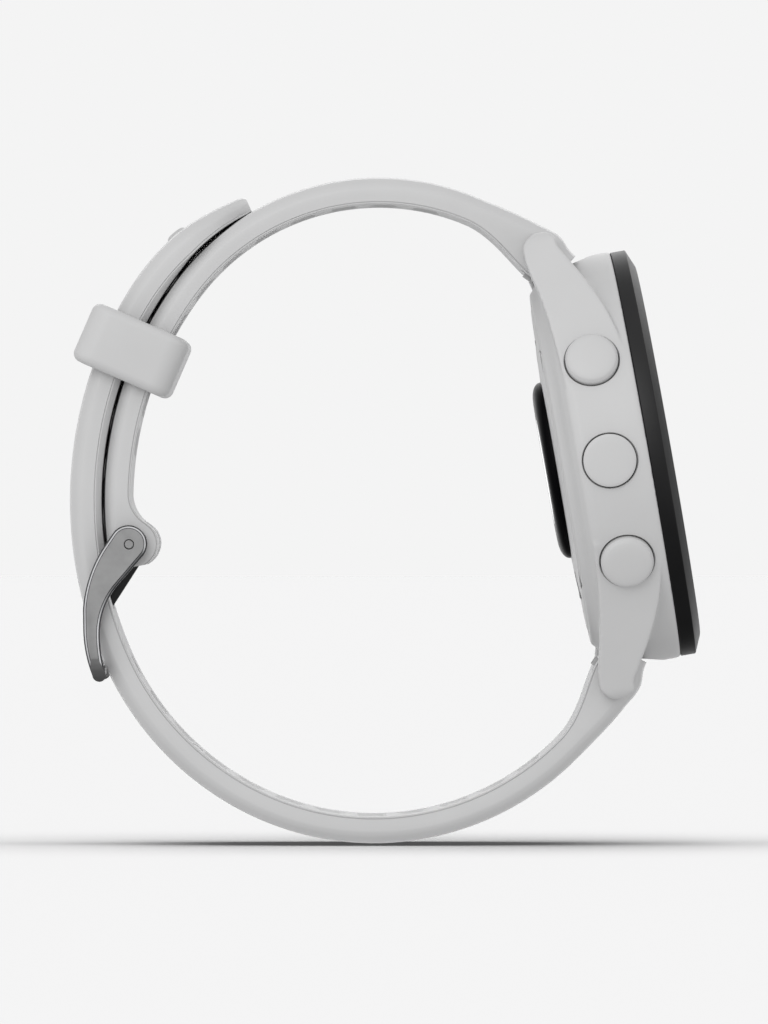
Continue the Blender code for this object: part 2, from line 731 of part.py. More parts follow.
def keeper():
    centre = (
        OVERLAP_CENTRE[0] + KEEPER_MIDDLE * math.cos(math.radians(KEEPER_ANGLE)),
        OVERLAP_CENTRE[1] + KEEPER_MIDDLE * math.sin(math.radians(KEEPER_ANGLE)),
    )
    axis = empty("keeper_axis", (OVERLAP_CENTRE[0], 0.0, OVERLAP_CENTRE[1]))
    lean = math.radians(KEEPER_ANGLE)
    local = (centre[0] - OVERLAP_CENTRE[0], centre[1] - OVERLAP_CENTRE[1])

    def turn(u, v, w):
        x = local[0] + u * math.cos(lean) - v * math.sin(lean)
        z = local[1] + u * math.sin(lean) + v * math.cos(lean)
        return (x, w, z)

    outline = rounded_rectangle(KEEPER_RADIAL / 2, KEEPER_LENGTH / 2, KEEPER_CORNER)
    loop = prism(outline, -KEEPER_HALF_WIDTH, KEEPER_HALF_WIDTH, turn)
    body = piece("keeper_loop", loop, "strap_silicone", axis)
    opening = [(-3.55, -6.0), (3.55, -6.0), (3.55, 6.0), (-3.55, 6.0)]
    combine(body, piece("keeper_opening", prism(opening, -10.35, 10.35, turn), None, axis))


def buckle():
    axis = empty("buckle_axis", (BUCKLE_PIN[0], 0.0, BUCKLE_PIN[1]))
    near = prism(arm_outline(), -FRAME_OUTER_Y, -FRAME_INNER_Y, across)
    near = piece("buckle_frame", near, "buckle_metal", axis)
    far = prism(arm_outline(), FRAME_INNER_Y, FRAME_OUTER_Y, across)
    combine(near, piece("buckle_far_arm", far, None, axis), "UNION")
    bar = [(x + BAR_PLACE[0], z + BAR_PLACE[1]) for x, z in rounded_rectangle(0.42, 0.62, 0.3, 2)]
    combine(near, piece("buckle_bar", prism(bar, -11.2, 11.2, across), None, axis), "UNION")
    combine(near, piece("buckle_pin_hole", rod((0.0, 0.0), 0.68, 13.0, MID_ROUND), None, axis))
    pin = rod((0.0, 0.0), PIN_RADIUS, FRAME_OUTER_Y - 0.05, SMALL_ROUND)
    piece("buckle_pin", pin, "stainless", axis)
    tongue = prism(tongue_outline(), -0.95, 0.95, across)
    tongue = piece("buckle_tongue", tongue, "tongue_black", axis)
    combine(tongue, piece("tongue_hole", rod((0.0, 0.0), 0.72, 3.0, MID_ROUND), None, axis))


def arm_outline():
    """One side of the buckle, measured from its pin: a round head and a leg curved round the strap."""
    outline = arc((0.0, 0.0), 1.87, -38, 138, 9)
    outline += arc((8.61, -7.63), 13.2, 146.5, 176.5, 6)
    outline += arc((9.26, -8.59), 13.8, 180, 201.5, 4)
    outline += arc((-2.98, -13.72), 0.6, 200, 320, 4)
    outline += arc((11.95, -9.33), 15.0, 196.1, 180, 4)
    outline += arc((4.75, -9.33), 7.8, 176, 142.2, 5)
    return outline


def tongue_frame(u, v):
    """A place measured along and across the tongue from the buckle's pin, in the world."""
    x, z = tongue_local(u, v)
    return BUCKLE_PIN[0] + x, BUCKLE_PIN[1] + z


def tongue_local(u, v):
    heading = math.radians(TONGUE_HEADING)
    return u * math.cos(heading) - v * math.sin(heading), u * math.sin(heading) + v * math.cos(heading)


def tongue_outline():
    """A loop round the pin, a tapered shaft, and a tip bent along the strap towards the bar."""
    lean = math.radians(TONGUE_BEND)
    bend = (9.9, 2.65)
    outer = arc(bend, 1.4, -90, TONGUE_BEND - 90, 3)
    inner = arc(bend, 0.7, TONGUE_BEND - 90, -90, 3)
    outline = arc((0.0, 0.0), 1.95, 90, 382.6, 14) + outer
    for u, v in (outer[-1], inner[0]):
        outline.append((u + TONGUE_TIP * math.cos(lean), v + TONGUE_TIP * math.sin(lean)))
    return [tongue_local(u, v) for u, v in outline + inner]


def clear_scene():
    for old in list(bpy.data.objects):
        bpy.data.objects.remove(old, do_unlink=True)


def main():
    clear_scene()
    case = empty("case_axis", CASE_ORIGIN, (0.0, math.radians(CASE_TILT), 0.0))
    body = case_body(case)
    for name, along, side in BUTTONS:
        button(case, body, name, along, side)
    bezel_and_display(case)
    inner_parts(case)
    rear_parts(case, body)
    long_strap(case)
    short_strap(case)
    spring_bar(case, "upper", -1)
    spring_bar(case, "lower", 1)
    keeper()
    buckle()


main()
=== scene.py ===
"""The looks of a GPS running watch with its strap closed: fine meshes, materials, light and camera.

Lengths are in millimetres and are turned into metres when a mesh is made. The case is drawn in its
own frame (x along the strap towards 6 o'clock, y towards 3 o'clock, z out of the display).
"""

import json
import math

import bmesh
import bpy
from mathutils import Matrix, Vector


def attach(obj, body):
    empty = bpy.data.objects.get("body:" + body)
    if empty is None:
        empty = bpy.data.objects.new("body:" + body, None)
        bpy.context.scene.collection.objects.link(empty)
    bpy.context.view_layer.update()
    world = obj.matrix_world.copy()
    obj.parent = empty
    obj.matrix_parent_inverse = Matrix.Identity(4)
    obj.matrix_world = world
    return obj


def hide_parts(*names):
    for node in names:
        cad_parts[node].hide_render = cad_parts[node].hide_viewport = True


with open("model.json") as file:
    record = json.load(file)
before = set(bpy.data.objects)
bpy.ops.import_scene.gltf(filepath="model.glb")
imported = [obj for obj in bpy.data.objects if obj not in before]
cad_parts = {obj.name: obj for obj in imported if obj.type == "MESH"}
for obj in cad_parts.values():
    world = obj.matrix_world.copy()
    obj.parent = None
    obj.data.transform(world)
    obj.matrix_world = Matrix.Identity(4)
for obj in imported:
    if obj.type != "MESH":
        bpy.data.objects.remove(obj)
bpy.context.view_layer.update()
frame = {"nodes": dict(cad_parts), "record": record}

MM = 0.001

# Case frame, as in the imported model
CASE_ORIGIN = Vector((32.04, 0.0, 6.05))
CASE_TILT = math.radians(80.0)
CASE_FRAME = Matrix.Translation(CASE_ORIGIN) @ Matrix.Rotation(CASE_TILT, 4, "Y")
CASE_RADIUS = 21.6
BAR_X = 22.3
BAR_Z = -7.1
LUG_ANGLE = 23.0
LUG_INNER_Y = 10.3
LUG_TIP_X = 24.75
LUG_END_RADIUS = 2.1
BUTTONS = [
    ("light", -10.6, -1),
    ("up", 0.0, -1),
    ("down", 10.6, -1),
    ("start_stop", -10.6, 1),
    ("back", 10.6, 1),
]
BUTTON_Z = -4.1
HEAD_RADIUS = 2.75
CASE_VOXEL = 0.16

# Strap, buckle and keeper
STRAP_HALF_WIDTH = 10.0
HALF_THICKNESS = 1.37
BAR_END_RADIUS = 2.55
BAR_TAPER_LENGTH = 9.0
NOSE_HEIGHT = 0.32
ROUND_END = [-2.52, -2.45, -2.3, -2.1, -1.8, -1.4, -1.0, -0.5]
LONG_START = (28.92, -17.14)
LONG_HEADING = 246.9
LONG_ARCS = [(24.33, -20.6), (28.46, -75.2), (30.25, -36.8), (40.97, -54.3), (25.5, -36.0)]
SHORT_START = (21.18, 26.78)
SHORT_HEADING = 136.8
SHORT_ARCS = [(24.95, 97.1), (37.45, 50.0)]
OVERLAP_CENTRE = (14.19, 1.24)
TIP_LENGTH = 8.0
TIP_SLIM = 0.62
RIB_START = 73.0
POCKET_START = 12.0
POCKET_PITCH = 4.6
POCKET_LENGTH = 3.2
POCKET_DEPTH = 0.22
POCKET_HALF_WIDTH = 6.6
BUCKLE_PIN = (-21.96, -3.37)
ARM_INNER_Y = 10.4
ARM_OUTER_Y = 12.0
BAR_OFFSET = (-3.2, -13.3)
TONGUE_HEADING = 237.3
HOLE_PITCH = 5.5
FIRST_HOLE = 53.4
HOLE_COUNT = 11
TONGUE_HOLE = 3
TONGUE_BEND = 50.0
TONGUE_TIP = 2.3
CROWN = 0.42
CROWN_LIFT = 0.2
KEEPER_ANGLE = 156.5
KEEPER_MIDDLE = 39.2

# Stage
FLOOR_Z = -34.85
FLOOR_HALF_SIZE = 6000.0
BACKDROP = 0.905
CAMERA_DISTANCE = 1450.0
CAMERA_X = 4.62
LENS_FOR_ONE_METRE = 334.6
FLOOR_SUN = 11.76
# How bright the room is by the direction's y, from the camera's side (-1) to behind the watch (1)
ROOM_LIGHT = [
    (-1.0, 0.6),
    (-0.8, 0.62),
    (-0.6, 1.05),
    (-0.25, 1.08),
    (-0.02, 0.78),
    (0.5, 0.6),
    (0.86, 0.6),
    (0.96, 1.5),
]


# Materials


def nodes_of(name):
    made = bpy.data.materials.new(name)
    made.use_nodes = True
    tree = made.node_tree
    return made, tree, tree.nodes["Principled BSDF"]


def noise(tree, scale, detail=2.0, roughness=0.5):
    """Noise over the object's own coordinates; scale is in waves for each metre."""
    place = tree.nodes.new("ShaderNodeTexCoord")
    made = tree.nodes.new("ShaderNodeTexNoise")
    made.inputs["Scale"].default_value = scale
    made.inputs["Detail"].default_value = detail
    made.inputs["Roughness"].default_value = roughness
    tree.links.new(place.outputs["Object"], made.inputs["Vector"])
    return made.outputs["Fac"]


def ramp(tree, source, low, high, start=0.3, end=0.7):
    made = tree.nodes.new("ShaderNodeValToRGB")
    made.color_ramp.elements[0].position = start
    made.color_ramp.elements[1].position = end
    made.color_ramp.elements[0].color = (*low, 1.0)
    made.color_ramp.elements[1].color = (*high, 1.0)
    tree.links.new(source, made.inputs["Fac"])
    return made.outputs["Color"]


def spread(tree, source, low, high):
    made = tree.nodes.new("ShaderNodeMapRange")
    made.inputs["To Min"].default_value = low
    made.inputs["To Max"].default_value = high
    tree.links.new(source, made.inputs["Value"])
    return made.outputs["Result"]


def bump(tree, shader, source, strength, depth_mm):
    made = tree.nodes.new("ShaderNodeBump")
    made.inputs["Strength"].default_value = strength
    made.inputs["Distance"].default_value = depth_mm * MM
    tree.links.new(source, made.inputs["Height"])
    tree.links.new(made.outputs["Normal"], shader.inputs["Normal"])


def moulded(name, colour, shade, roughness, grain_scale, grain_mm, coat=0.0, sheen=0.0, specular=0.5):
    """A moulded plastic or rubber: slow colour drift, and a fine grain in gloss and surface."""
    made, tree, shader = nodes_of(name)
    darker = tuple(channel * shade for channel in colour)
    tree.links.new(ramp(tree, noise(tree, 160.0, 3.0), darker, colour), shader.inputs["Base Color"])
    grain = noise(tree, grain_scale, 3.0, 0.6)
    tree.links.new(spread(tree, grain, roughness - 0.05, roughness + 0.07), shader.inputs["Roughness"])
    bump(tree, shader, grain, 0.35, grain_mm)
    shader.inputs["Coat Weight"].default_value = coat
    shader.inputs["Sheen Weight"].default_value = sheen
    shader.inputs["Specular IOR Level"].default_value = specular
    return made


def metal(name, colour, roughness, brush_scale, grain_mm):
    made, tree, shader = nodes_of(name)
    shader.inputs["Metallic"].default_value = 1.0
    darker = tuple(channel * 0.86 for channel in colour)
    tree.links.new(ramp(tree, noise(tree, 700.0, 4.0), darker, colour), shader.inputs["Base Color"])
    grain = noise(tree, brush_scale, 4.0, 0.7)
    tree.links.new(spread(tree, grain, roughness - 0.06, roughness + 0.08), shader.inputs["Roughness"])
    bump(tree, shader, grain, 0.2, grain_mm)
    return made


def board_material():
    """Green solder mask with copper-coloured pads and tracks."""
    made, tree, shader = nodes_of("circuit_board")
    place = tree.nodes.new("ShaderNodeTexCoord")
    bricks = tree.nodes.new("ShaderNodeTexBrick")
    bricks.inputs["Scale"].default_value = 420.0
    bricks.inputs["Color1"].default_value = (0.012, 0.10, 0.045, 1.0)
    bricks.inputs["Color2"].default_value = (0.02, 0.14, 0.07, 1.0)
    bricks.inputs["Mortar"].default_value = (0.35, 0.26, 0.08, 1.0)
    bricks.inputs["Mortar Size"].default_value = 0.012
    tree.links.new(place.outputs["Object"], bricks.inputs["Vector"])
    tree.links.new(bricks.outputs["Color"], shader.inputs["Base Color"])
    shader.inputs["Roughness"].default_value = 0.35
    return made


MATERIALS = {
    "case_plastic": moulded("case_plastic", (0.53, 0.53, 0.53), 0.975, 0.5, 5200.0, 0.012),
    "strap_silicone": moulded("strap_silicone", (0.53, 0.53, 0.53), 0.97, 0.48, 4200.0, 0.014, sheen=0.05),
    "bezel_black": moulded("bezel_black", (0.0075, 0.0075, 0.008), 0.6, 0.44, 9000.0, 0.03, specular=0.3),
    "cover_glass": moulded("cover_glass", (0.002, 0.002, 0.003), 0.9, 0.08, 90.0, 0.0002, specular=0.35),
    "display": moulded("display", (0.004, 0.004, 0.005), 0.8, 0.3, 3000.0, 0.001),
    "gloss_black": moulded("gloss_black", (0.002, 0.002, 0.0025), 0.8, 0.35, 900.0, 0.001, specular=0.03),
    "seal_rubber": moulded("seal_rubber", (0.02, 0.02, 0.021), 0.8, 0.75, 5000.0, 0.01),
    "stainless": metal("stainless", (0.5, 0.5, 0.5), 0.3, 3500.0, 0.002),
    "buckle_metal": metal("buckle_metal", (0.37, 0.37, 0.37), 0.38, 6500.0, 0.006),
    "tongue_black": moulded("tongue_black", (0.008, 0.008, 0.009), 0.8, 0.32, 3000.0, 0.004, specular=0.4),
    "chassis_plastic": moulded("chassis_plastic", (0.06, 0.06, 0.066), 0.85, 0.6, 4000.0, 0.01),
    "board_green": board_material(),
    "battery_foil": metal("battery_foil", (0.5, 0.51, 0.53), 0.42, 900.0, 0.01),
    "gold": metal("gold", (0.83, 0.61, 0.26), 0.26, 4000.0, 0.001),
    "flex_amber": moulded("flex_amber", (0.42, 0.2, 0.04), 0.85, 0.4, 2500.0, 0.003, coat=0.3),
}
POLISHED = metal("polished_edge", (0.6, 0.6, 0.61), 0.14, 2500.0, 0.001)
# Painted shade: a dark metal that stands in for the shaded outline along the buckle arms' sides and thin
# bevel rings
EDGE_SHADE_PAINT = metal("painted_edge_shade", (0.09, 0.09, 0.095), 0.3, 2500.0, 0.001)


# Making meshes


def shown(name, shape, slot, body, replaced=(), space=None, smooth=38):
    """A finished piece from (points, faces) in millimetres."""
    made = raw(name, shape, space)
    made.data.materials.append(MATERIALS[slot])
    return finish_piece(made, body, replaced, smooth)


def raw(name, shape, space=None):
    points, faces = shape
    mesh = bpy.data.meshes.new(name)
    mesh.from_pydata([Vector(point) * MM for point in points], [], faces)
    body = bmesh.new()
    body.from_mesh(mesh)
    bmesh.ops.recalc_face_normals(body, faces=body.faces)
    body.to_mesh(mesh)
    body.free()
    if space is not None:
        mesh.transform(in_metres(space))
    made = bpy.data.objects.new(name, mesh)
    bpy.context.scene.collection.objects.link(made)
    return made


def in_metres(space):
    moved = space.copy()
    moved.translation = space.translation * MM
    return moved


def finish_piece(made, body, replaced=(), smooth=38):
    made.data.shade_smooth()
    made.data.set_sharp_from_angle(angle=math.radians(smooth))
    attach(made, body)
    if replaced:
        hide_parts(*replaced)
    return made


def painted(made, slot, replaced, smooth, body="case"):
    """Gives a mesh that came out of booleans its one material, and finishes it."""
    made.data.materials.clear()
    made.data.materials.append(MATERIALS[slot])
    return finish_piece(made, body, replaced, smooth)


def apply(made):
    """Turns an object's modifiers into its mesh."""
    graph = bpy.context.evaluated_depsgraph_get()
    mesh = bpy.data.meshes.new_from_object(made.evaluated_get(graph))
    made.modifiers.clear()
    made.data = mesh


def combine(target, tool, operation="DIFFERENCE"):
    modifier = target.modifiers.new(tool.name, "BOOLEAN")
    modifier.object = tool
    modifier.operation = operation
    modifier.solver = "EXACT"
    apply(target)
    bpy.data.objects.remove(tool)


def bevel(made, width_mm, segments, angle):
    modifier = made.modifiers.new("bevel", "BEVEL")
    modifier.width = width_mm * MM
    modifier.segments = segments
    modifier.limit_method = "ANGLE"
    modifier.angle_limit = math.radians(angle)
    apply(made)


def turned(profile, segments=128):
    points = []
    rings = []
    for radius, height in profile:
        if radius == 0.0:
            rings.append([len(points)] * segments)
            points.append((0.0, 0.0, height))
            continue
        rings.append(list(range(len(points), len(points) + segments)))
        for step in range(segments):
            angle = 2 * math.pi * step / segments
            points.append((radius * math.cos(angle), radius * math.sin(angle), height))
    faces = []
    pairs = len(rings) if profile[0][0] > 0.0 else len(rings) - 1
    for index in range(pairs):
        low, high = rings[index], rings[(index + 1) % len(rings)]
        for step in range(segments):
            after = (step + 1) % segments
            faces.append(list(dict.fromkeys([low[step], low[after], high[after], high[step]])))
    return points, [face for face in faces if len(face) > 2]


def prism(outline, low, high, place):
    count = len(outline)
    points = [place(u, v, low) for u, v in outline] + [place(u, v, high) for u, v in outline]
    faces = [list(range(count)), list(range(count, 2 * count))]
    for index in range(count):
        after = (index + 1) % count
        faces.append([index, after, count + after, count + index])
    return points, faces


def lofted(loops, closed=False):
    """A skin through loops of equal numbers of points: capped at both ends, or closed on itself."""
    count = len(loops[0])
    points = [point for loop in loops for point in loop]
    faces = []
    if not closed:
        faces = [list(range(count)), list(range(len(points) - count, len(points)))]
    rows = len(loops) if closed else len(loops) - 1
    for row in range(rows):
        low = row * count
        high = ((row + 1) % len(loops)) * count
        for index in range(count):
            after = (index + 1) % count
            faces.append([low + index, low + after, high + after, high + index])
    return points, faces


def joined(shapes):
    points = []
    faces = []
    for more_points, more_faces in shapes:
        start = len(points)
        points += more_points
        faces += [[start + index for index in face] for face in more_faces]
    return points, faces


def upright(u, v, w):
    return (u, v, w)


def across(u, v, w):
    return (u, w, v)


def lengthwise(u, v, w):
    return (w, u, v)


def arc(centre, radius, start, end, steps):
    found = []
    for step in range(steps + 1):
        angle = math.radians(start + (end - start) * step / steps)
        found.append((centre[0] + radius * math.cos(angle), centre[1] + radius * math.sin(angle)))
    return found


def rod(centre, radius, half_width, segments=32):
    circle = arc(centre, radius, 0, 360 - 360 / segments, segments - 1)
    return prism(circle, -half_width, half_width, across)


def filleted(profile, radius, steps=4):
    """Rounds each inner corner of an open (radius, z) profile."""
    rounded = [profile[0]]
    for before, here, after in zip(profile, profile[1:], profile[2:]):
        back = Vector(before) - Vector(here)
        on = Vector(after) - Vector(here)
        cut = min(radius, 0.45 * back.length, 0.45 * on.length)
        start = Vector(here) + back.normalized() * cut
        end = Vector(here) + on.normalized() * cut
        for step in range(steps + 1):
            part = step / steps
            point = start.lerp(Vector(here), part).lerp(Vector(here).lerp(end, part), part)
            rounded.append((point.x, point.y))
    return rounded + [profile[-1]]


def ease(value):
    value = min(max(value, 0.0), 1.0)
    return value * value * (3.0 - 2.0 * value)


# Case


def case_solid():
    """A turned body and four lugs, melted together by a fine remesh, then hollowed and drilled."""
    profile = [
        (0.0, 0.0),
        (CASE_RADIUS - 0.1, 0.0),
        (CASE_RADIUS, -0.4),
        (CASE_RADIUS, -6.6),
        (21.35, -7.3),
        (20.5, -7.85),
        (19.5, -8.3),
        (18.9, -8.72),
        (18.62, -9.06),
        (0.0, -9.06),
    ]
    body = raw("case_middle_fine", turned(profile, 180))
    for end in (-1, 1):
        for side in (-1, 1):
            combine(body, lug(end, side), "UNION")
    for end in (-1, 1):
        combine(body, raw(f"gap_{end}", lug_gap(end)))
    soften(body, CASE_VOXEL, 10)
    cavity = [(0.0, 1.0), (18.3, 1.0), (18.3, -8.4), (17.6, -8.4), (17.6, -10.0), (0.0, -10.0)]
    combine(body, raw("cavity", turned(cavity, 160)))
    for name, along, side in BUTTONS:
        combine(body, button_hole(name, along, side))
    for end in (-1, 1):
        combine(body, raw(f"bar_hole_{end}", rod((end * BAR_X, BAR_Z), 0.6, 11.7, 24)))
    body.data.transform(in_metres(CASE_FRAME))
    painted(body, "case_plastic", ["case_middle"], 50)


def soften(made, voxel_mm, rounds):
    modifier = made.modifiers.new("remesh", "REMESH")
    modifier.mode = "VOXEL"
    modifier.voxel_size = voxel_mm * MM
    apply(made)
    modifier = made.modifiers.new("smooth", "SMOOTH")
    modifier.factor = 0.5
    modifier.iterations = rounds
    apply(made)


def lug(end, side):
    """A lug: its side outline kept inside its plan outline."""
    top = [(6.5, -0.55), (9.0, -0.6), (11.6, -0.72), (13.4, -0.98), (15.2, -1.5)]
    top += [(17.2, -2.3), (19.4, -3.4), (21.4, -4.55), (22.9, -5.45)]
    tip = arc((22.65, -7.1), 2.05, 48, -78, 9)
    under = [(21.6, -9.02), (20.2, -8.72), (18.3, -8.25), (15.8, -7.85)]
    under += [(12.9, -7.55), (9.0, -7.3), (6.5, -7.2)]
    outline = [(end * x, z) for x, z in top + tip + under]
    low, high = sorted((side * (LUG_INNER_Y - 0.1), side * 22.0))
    made = raw(f"lug_{end}_{side}", prism(outline, low, high, across))
    lean = math.radians(LUG_ANGLE)
    tangent = (CASE_RADIUS * math.sin(lean), CASE_RADIUS * math.cos(lean))
    end_centre = (LUG_TIP_X - LUG_END_RADIUS, LUG_INNER_Y + 0.75)
    plan = [(5.0, 8.0), (5.0, tangent[1]), tangent]
    plan += arc(end_centre, LUG_END_RADIUS, 90 - LUG_ANGLE, -60, 10)
    plan += [(LUG_TIP_X - 1.3, 8.0)]
    plan = [(end * x, side * y) for x, y in plan]
    combine(made, raw(f"plan_{end}_{side}", prism(plan, -12.0, 2.0, upright)), "INTERSECT")
    return made


def lug_gap(end):
    """The space between two lugs, scooped round the spring bar."""
    outline = arc((BAR_X, BAR_Z), 2.85, 120, 235, 24)
    outline += [(23.3, -11.0), (27.0, -11.0), (27.0, 0.5), (22.2, 0.5)]
    outline = [(end * x, z) for x, z in outline]
    return prism(outline, -LUG_INNER_Y, LUG_INNER_Y, across)


def button_space(along, side):
    """The frame of a button: z points out of the case's wall."""
    lean = 0.0 if along == 0.0 else math.copysign(math.radians(LUG_ANGLE), along)
    outward = Vector((math.sin(lean), side * math.cos(lean), 0.0))
    wall = (CASE_RADIUS - abs(along) * math.sin(abs(lean))) / math.cos(lean)
    up = Vector((0.0, 0.0, 1.0))
    turn = Matrix((up, outward.cross(up), outward)).transposed().to_4x4()
    return Matrix.Translation(Vector((along, side * wall, BUTTON_Z))) @ turn


def button_hole(name, along, side):
    """A flared recess for the cap, with a lip in its wall and a bore for the stem."""
    hole = [(0.0, 3.0), (3.16, 3.0), (3.16, 0.2), (2.95, -0.06), (2.93, -0.2), (2.85, -0.28), (2.85, -1.45)]
    hole += [(0.98, -1.45), (0.98, -4.3), (0.0, -4.3)]
    return raw(f"{name}_hole", turned(hole, 72), button_space(along, side))


def button_cap(name, along, side):
    """A cap that stands clear of the wall: nearly flat on the middle button, domed on the others."""
    rim = (0.3, 0.52) if along == 0.0 else (0.36, 1.0)
    top = [(0.0, rim[1])]
    for part in range(1, 13):
        reach = part / 12
        dome = (1.0 - reach**3.2) ** (1 / 2.2)
        top.append((HEAD_RADIUS * reach, rim[0] + (rim[1] - rim[0]) * dome))
    stem = [(HEAD_RADIUS, -0.6), (0.9, -0.6), (0.9, -5.3), (0.0, -5.3)]
    space = CASE_FRAME @ button_space(along, side)
    shape = turned(filleted(top + stem, 0.09, 3), 96)
    shown(f"{name}_button_fine", shape, "case_plastic", f"{name}_button", [f"{name}_button_cap"], space, 50)


def bezel_and_glass():
    bezel = [
        (21.2, -0.12),
        (21.25, 0.03),
        (21.5, 0.07),
        (21.5, 1.6),
        (19.63, 2.4),
        (19.46, 2.4),
        (19.45, 1.4),
        (17.9, 1.4),
        (17.9, -0.12),
        (21.2, -0.12),
    ]
    shape = turned(filleted(bezel, 0.07, 3)[:-1], 256)
    shown("bezel_fine", shape, "bezel_black", "case", ["bezel"], CASE_FRAME, 50)
    glass = [(0.0, 1.5), (19.3, 1.5), (19.3, 2.3), (19.2, 2.38), (19.0, 2.4), (0.0, 2.4)]
    shown("display_glass_fine", turned(glass, 256), "cover_glass", "case", ["display_glass"], CASE_FRAME)


def rear_cover():
    """A ring-shaped plate with four screw seats, a port hole and a vent hole."""
    screw_circle = 16.1
    cover = [
        (7.0, -8.46),
        (17.45, -8.46),
        (17.45, -8.98),
        (17.3, -9.1),
        (16.9, -9.18),
        (14.7, -9.2),
        (12.5, -9.38),
        (9.8, -9.48),
        (7.0, -9.5),
    ]
    plate = raw("rear_cover_fine", turned(cover, 200))
    for number in range(4):
        angle = math.radians(45 + 90 * number)
        seat = [(0.0, -10.0), (1.26, -10.0), (1.26, -8.78), (0.68, -8.78), (0.68, -8.0), (0.0, -8.0)]
        middle = Vector((screw_circle * math.cos(angle), screw_circle * math.sin(angle), 0.0))
        combine(plate, raw("seat", turned(seat, 48), Matrix.Translation(middle)))
    port = [(10.8, -3.85), (13.8, -3.85), (13.8, 3.85), (10.8, 3.85)]
    combine(plate, raw("port_hole", prism(port, -10.0, -8.0, upright)))
    vent = [(0.0, -10.0), (1.38, -10.0), (1.38, -8.0), (0.0, -8.0)]
    combine(plate, raw("vent_hole", turned(vent, 48), Matrix.Translation(Vector((-12.5, 0.0, 0.0)))))
    plate.data.transform(in_metres(CASE_FRAME))
    painted(plate, "case_plastic", ["rear_cover"], 40)


def sensor():
    """The boss with a soft round edge, and the window in its middle."""
    rim = [(9.36, -9.54)]
    for angle in (0.1, 0.3, 0.5, 0.7, 0.9, 1.1, 1.3, 1.5):
        rim.append((7.2 + 2.16 * math.cos(angle) ** 0.85, -9.6 - 1.03 * math.sin(angle)))
    housing = [(4.5, -8.4), (6.85, -8.4), (6.85, -9.54)] + rim
    housing += [(6.9, -10.63), (5.75, -10.63), (5.7, -10.58), (5.7, -10.1), (4.5, -10.1)]
    shape = turned(housing, 160)
    shown("sensor_housing_fine", shape, "gloss_black", "case", ["sensor_housing"], CASE_FRAME, 45)
    window = [(0.0, -10.14), (5.6, -10.14), (5.6, -10.58), (5.55, -10.63), (0.0, -10.63)]
    shown("sensor_window_fine", turned(window, 120), "cover_glass", "case", ["sensor_window"], CASE_FRAME)


# Strap


def along_arcs(start, heading, arcs, distance):
    """The point and heading at a distance along a chain of arcs (radius, turn), left turns positive."""
    x, z = start
    angle = math.radians(heading)
    if distance < 0.0:
        return x + distance * math.cos(angle), z + distance * math.sin(angle), angle
    for radius, turn in arcs:
        sign = math.copysign(1.0, turn)
        length = radius * math.radians(abs(turn))
        run = min(distance, length)
        centre = (x - sign * radius * math.sin(angle), z + sign * radius * math.cos(angle))
        angle += sign * run / radius
        x = centre[0] + sign * radius * math.sin(angle)
        z = centre[1] - sign * radius * math.cos(angle)
        distance -= run
        if distance <= 0.0:
            break
    return x, z, angle


def on_long(distance):
    x, z, angle = along_arcs(LONG_START, LONG_HEADING, LONG_ARCS, distance)
    return Vector((x, 0.0, z)), Vector((-math.sin(angle), 0.0, math.cos(angle)))


def on_short(distance):
    x, z, angle = along_arcs(SHORT_START, SHORT_HEADING, SHORT_ARCS, distance)
    return Vector((x, 0.0, z)), Vector((math.sin(angle), 0.0, -math.cos(angle)))


def bar_end(distance):
    """Half the strap's thickness, which grows to a round end about the spring bar."""
    if distance < 0.0:
        return math.sqrt(max(BAR_END_RADIUS**2 - distance**2, 0.25))
    return BAR_END_RADIUS + (HALF_THICKNESS - BAR_END_RADIUS) * ease(distance / BAR_TAPER_LENGTH)


def crown_height(distance):
    """The outside's height at mid width; at the bar end a nose reaches over the bar to the case's flank."""
    if distance > 0.0:
        nose = NOSE_HEIGHT * (1.0 - ease(distance / 2.6))
        return bar_end(distance) + nose + CROWN_LIFT * ease((distance - 3.0) / 6.0)
    return BAR_END_RADIUS + NOSE_HEIGHT - 0.4 * ease(-distance / 1.9)


def layer_gap(point):
    """Free space between a place on the outer layer's middle line and the layer under it."""
    angle = math.radians(SHORT_HEADING)
    first = SHORT_ARCS[0][0]
    centre = (SHORT_START[0] - first * math.sin(angle), SHORT_START[1] + first * math.cos(angle))
    found = []
    for middle, radius in ((centre, first), (OVERLAP_CENTRE, SHORT_ARCS[1][0])):
        found.append(math.hypot(point.x - middle[0], point.z - middle[1]) - radius)
    return max(min(found[0], found[1]) - 2 * HALF_THICKNESS, 0.0)


def pocket(y, distance, start, end):
    """How deep the sweat channels are pressed into the strap's inner face."""
    if not start < distance < end:
        return 0.0
    place = (distance - start) % POCKET_PITCH
    edge = min(place, POCKET_LENGTH - place)
    side = POCKET_HALF_WIDTH - abs(y)
    return POCKET_DEPTH * ease(edge / 0.35) * ease(side / 0.5)


